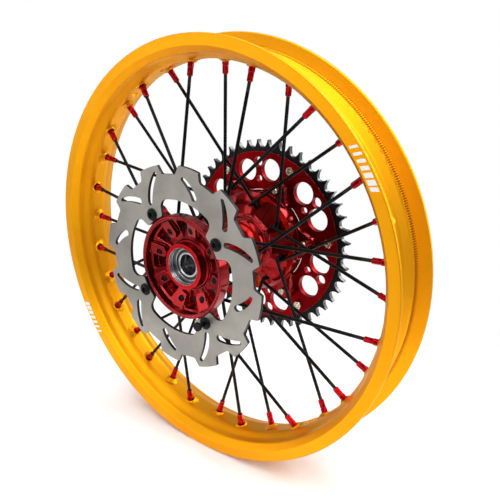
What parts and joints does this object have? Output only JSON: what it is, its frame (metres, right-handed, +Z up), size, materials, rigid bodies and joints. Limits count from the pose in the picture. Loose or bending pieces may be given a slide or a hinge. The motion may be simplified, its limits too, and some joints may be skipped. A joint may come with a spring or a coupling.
{
  "type": "spoked motorcycle wheel",
  "caption": "Rear off-road motorcycle wheel without tyre: laced rim, machined hub with sealed bearings, wave brake disc and bolted chain wheel on one axle line.",
  "frame": {"origin": "on the wheel axis at the rim's centre plane", "axes": "+Y along the axle to the chain wheel side, +Z up, +X forward; the brake disc is on the -Y side"},
  "size_m": [0.5106, 0.1879, 0.5106],
  "materials": {
    "rim_gold": "gold anodised, satin, fine circumferential grain",
    "spoke_black": "satin black coated steel",
    "nipple_red": "red anodised alloy",
    "hub_red": "red anodised, glossy, machined",
    "disc_steel": "ground stainless steel",
    "screw_black": "black oxide",
    "carrier_red": "matte red anodised",
    "tooth_black": "black steel with bare tooth flanks",
    "nickel": "nickel plated steel",
    "seal_rubber": "matte",
    "cage_steel": "pressed steel",
    "spring_steel": "phosphated spring steel",
    "bearing_steel": "ground bearing steel"
  },
  "bodies": {
    "axle_sleeve": {"bearing_brake_inner_race": "bearing_steel", "bearing_drive_inner_inner_race": "bearing_steel", "bearing_drive_outer_inner_race": "bearing_steel", "spacer_tube": "bearing_steel"},
    "wheel": {"bearing_brake_inner_seal": "seal_rubber", "bearing_brake_outer_race": "bearing_steel", "bearing_brake_outer_seal": "seal_rubber", "bearing_drive_inner_inner_seal": "seal_rubber", "bearing_drive_inner_outer_race": "bearing_steel", "bearing_drive_inner_outer_seal": "seal_rubber", "bearing_drive_outer_inner_seal": "seal_rubber", "bearing_drive_outer_outer_race": "bearing_steel", "bearing_drive_outer_outer_seal": "seal_rubber", "brake_disc": "disc_steel", "disc_bolt_stud": "screw_black", "disc_bolts": "screw_black", "hub": "hub_red", "nipples_brake_side": "nipple_red", "nipples_sprocket_side": "nipple_red", "retaining_ring_brake": "spring_steel", "retaining_ring_drive": "spring_steel", "rim": "rim_gold", "ring_nuts": "nickel", "ring_screws": "nickel", "spokes_brake_leading": "spoke_black", "spokes_brake_trailing": "spoke_black", "spokes_sprocket_leading": "spoke_black", "spokes_sprocket_trailing": "spoke_black", "sprocket_bolts": "nickel", "sprocket_carrier": "carrier_red", "sprocket_ring": "tooth_black"},
    "bearing_brake_ball_set": {"bearing_brake_balls": "bearing_steel", "bearing_brake_cage": "cage_steel"},
    "bearing_drive_inner_ball_set": {"bearing_drive_inner_balls": "bearing_steel", "bearing_drive_inner_cage": "cage_steel"},
    "bearing_drive_outer_ball_set": {"bearing_drive_outer_balls": "bearing_steel", "bearing_drive_outer_cage": "cage_steel"}
  },
  "joints": [
    {"name": "wheel_spin", "type": "hinge", "parent": "axle_sleeve", "child": "wheel", "pos_m": [0, 0, 0], "axis": [0, 1, 0], "continuous": true},
    {"name": "bearing_brake_roll", "type": "hinge", "parent": "axle_sleeve", "child": "bearing_brake_ball_set", "pos_m": [0, -0.053, 0], "axis": [0, 1, 0], "continuous": true},
    {"name": "bearing_drive_inner_roll", "type": "hinge", "parent": "axle_sleeve", "child": "bearing_drive_inner_ball_set", "pos_m": [0, 0.0545, 0], "axis": [0, 1, 0], "continuous": true},
    {"name": "bearing_drive_outer_roll", "type": "hinge", "parent": "axle_sleeve", "child": "bearing_drive_outer_ball_set", "pos_m": [0, 0.0635, 0], "axis": [0, 1, 0], "continuous": true}
  ],
  "couplings": [
    {"joint": "bearing_brake_roll", "follows": "wheel_spin", "ratio": 0.57105},
    {"joint": "bearing_drive_inner_roll", "follows": "wheel_spin", "ratio": 0.57105},
    {"joint": "bearing_drive_outer_roll", "follows": "wheel_spin", "ratio": 0.57105}
  ]
}
